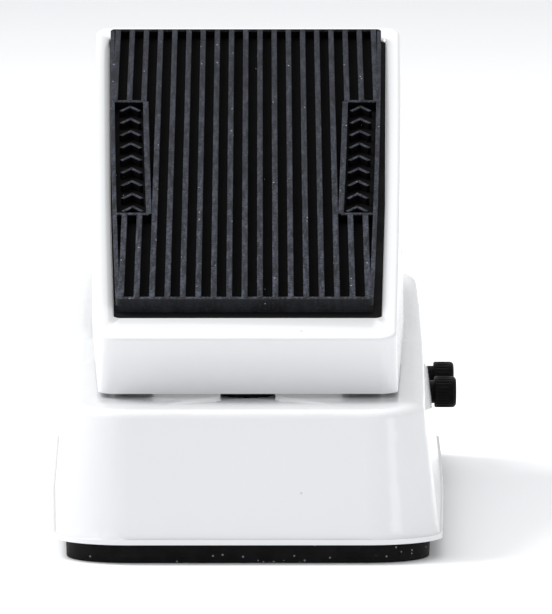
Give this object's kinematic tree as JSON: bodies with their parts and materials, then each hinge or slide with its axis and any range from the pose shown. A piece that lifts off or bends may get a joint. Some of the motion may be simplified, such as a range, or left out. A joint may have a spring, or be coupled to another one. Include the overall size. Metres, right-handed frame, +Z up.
{
  "type": "volume pedal",
  "caption": "Foot-operated volume pedal: a ribbed treadle tilts on a wedge-shaped die-cast casing and turns a potentiometer through a rack and a pinion.",
  "frame": {"origin": "centre of the base pad's underside, on the floor", "axes": "+X to the player's right, +Y to the toe end, +Z up"},
  "size_m": [0.106, 0.257, 0.117],
  "materials": {
    "white_enamel": "gloss, thick enamel",
    "tread_rubber": "matte, scuffed",
    "black_rubber": "matte",
    "adhesive_film": "matte",
    "knob_plastic": "satin",
    "steel": "brushed",
    "zinc_screws": "zinc plated",
    "nylon": "natural nylon",
    "pot_metal": "satin",
    "black_plastic": "moulded",
    "nickel": "nickel plated",
    "board_green": "lacquered",
    "capacitor_sleeve": "shrunk sleeve",
    "resistor_coat": "lacquered",
    "battery_case": "printed foil",
    "wire_jacket": "flexible jacket"
  },
  "bodies": {
    "casing": {"base_pad": "black_rubber", "base_plate": "steel", "base_screws": "zinc_screws", "battery": "battery_case", "battery_clip": "black_plastic", "battery_holder": "black_plastic", "board_screws": "zinc_screws", "bracket_screws": "zinc_screws", "capacitors": "capacitor_sleeve", "casing": "white_enamel", "circuit_board": "board_green", "control_board": "board_green", "control_board_screws": "zinc_screws", "gain_pot": "black_plastic", "guide_spring": "steel", "heel_bumper": "black_rubber", "input_jack": "black_plastic", "jack_nuts": "nickel", "jack_washers": "nickel", "level_pot": "black_plastic", "op_amp_chip": "black_plastic", "output_jack": "black_plastic", "pivot_bushings": "nylon", "pot_bracket": "steel", "power_inlet": "black_plastic", "rack_guide": "nylon", "resistors": "resistor_coat", "signal_wires": "wire_jacket", "sweep_pot_body": "pot_metal", "sweep_pot_nut": "nickel", "toe_bumper": "black_rubber"},
    "treadle": {"treadle": "white_enamel", "tread_adhesive": "adhesive_film", "tread_pad": "tread_rubber", "pivot_rod": "steel", "pivot_clips": "steel", "rack_pin": "steel"},
    "rack": {"rack": "nylon"},
    "pinion": {"pinion": "nylon", "sweep_pot_shaft": "steel"},
    "gain_control": {"gain_knob": "knob_plastic", "gain_shaft": "steel"},
    "level_control": {"level_knob": "knob_plastic", "level_shaft": "steel"}
  },
  "joints": [
    {"name": "treadle_tilt", "type": "hinge", "parent": "casing", "child": "treadle", "pos_m": [0, 0.00051, 0.06327], "axis": [-1, 0, 0], "range_deg": [0, 28.08]},
    {"name": "rack_slide", "type": "slide", "parent": "casing", "child": "rack", "axis": [0, 0, -1], "range_m": [0, 0.02526]},
    {"name": "pinion_spin", "type": "hinge", "parent": "casing", "child": "pinion", "pos_m": [0, 0.05903, 0.03553], "axis": [1, 0, 0], "range_deg": [0, 301.5]},
    {"name": "gain_turn", "type": "hinge", "parent": "casing", "child": "gain_control", "pos_m": [0.05, 0.058, 0.023], "axis": [1, 0, 0], "range_deg": [-150, 150]},
    {"name": "level_turn", "type": "hinge", "parent": "casing", "child": "level_control", "pos_m": [0.05, 0.083, 0.02451], "axis": [1, 0, 0], "range_deg": [-150, 150]}
  ],
  "couplings": [
    {"joint": "rack_slide", "follows": "treadle_tilt", "m_per_rad": 0.051481},
    {"joint": "pinion_spin", "follows": "treadle_tilt", "ratio": 10.725}
  ]
}
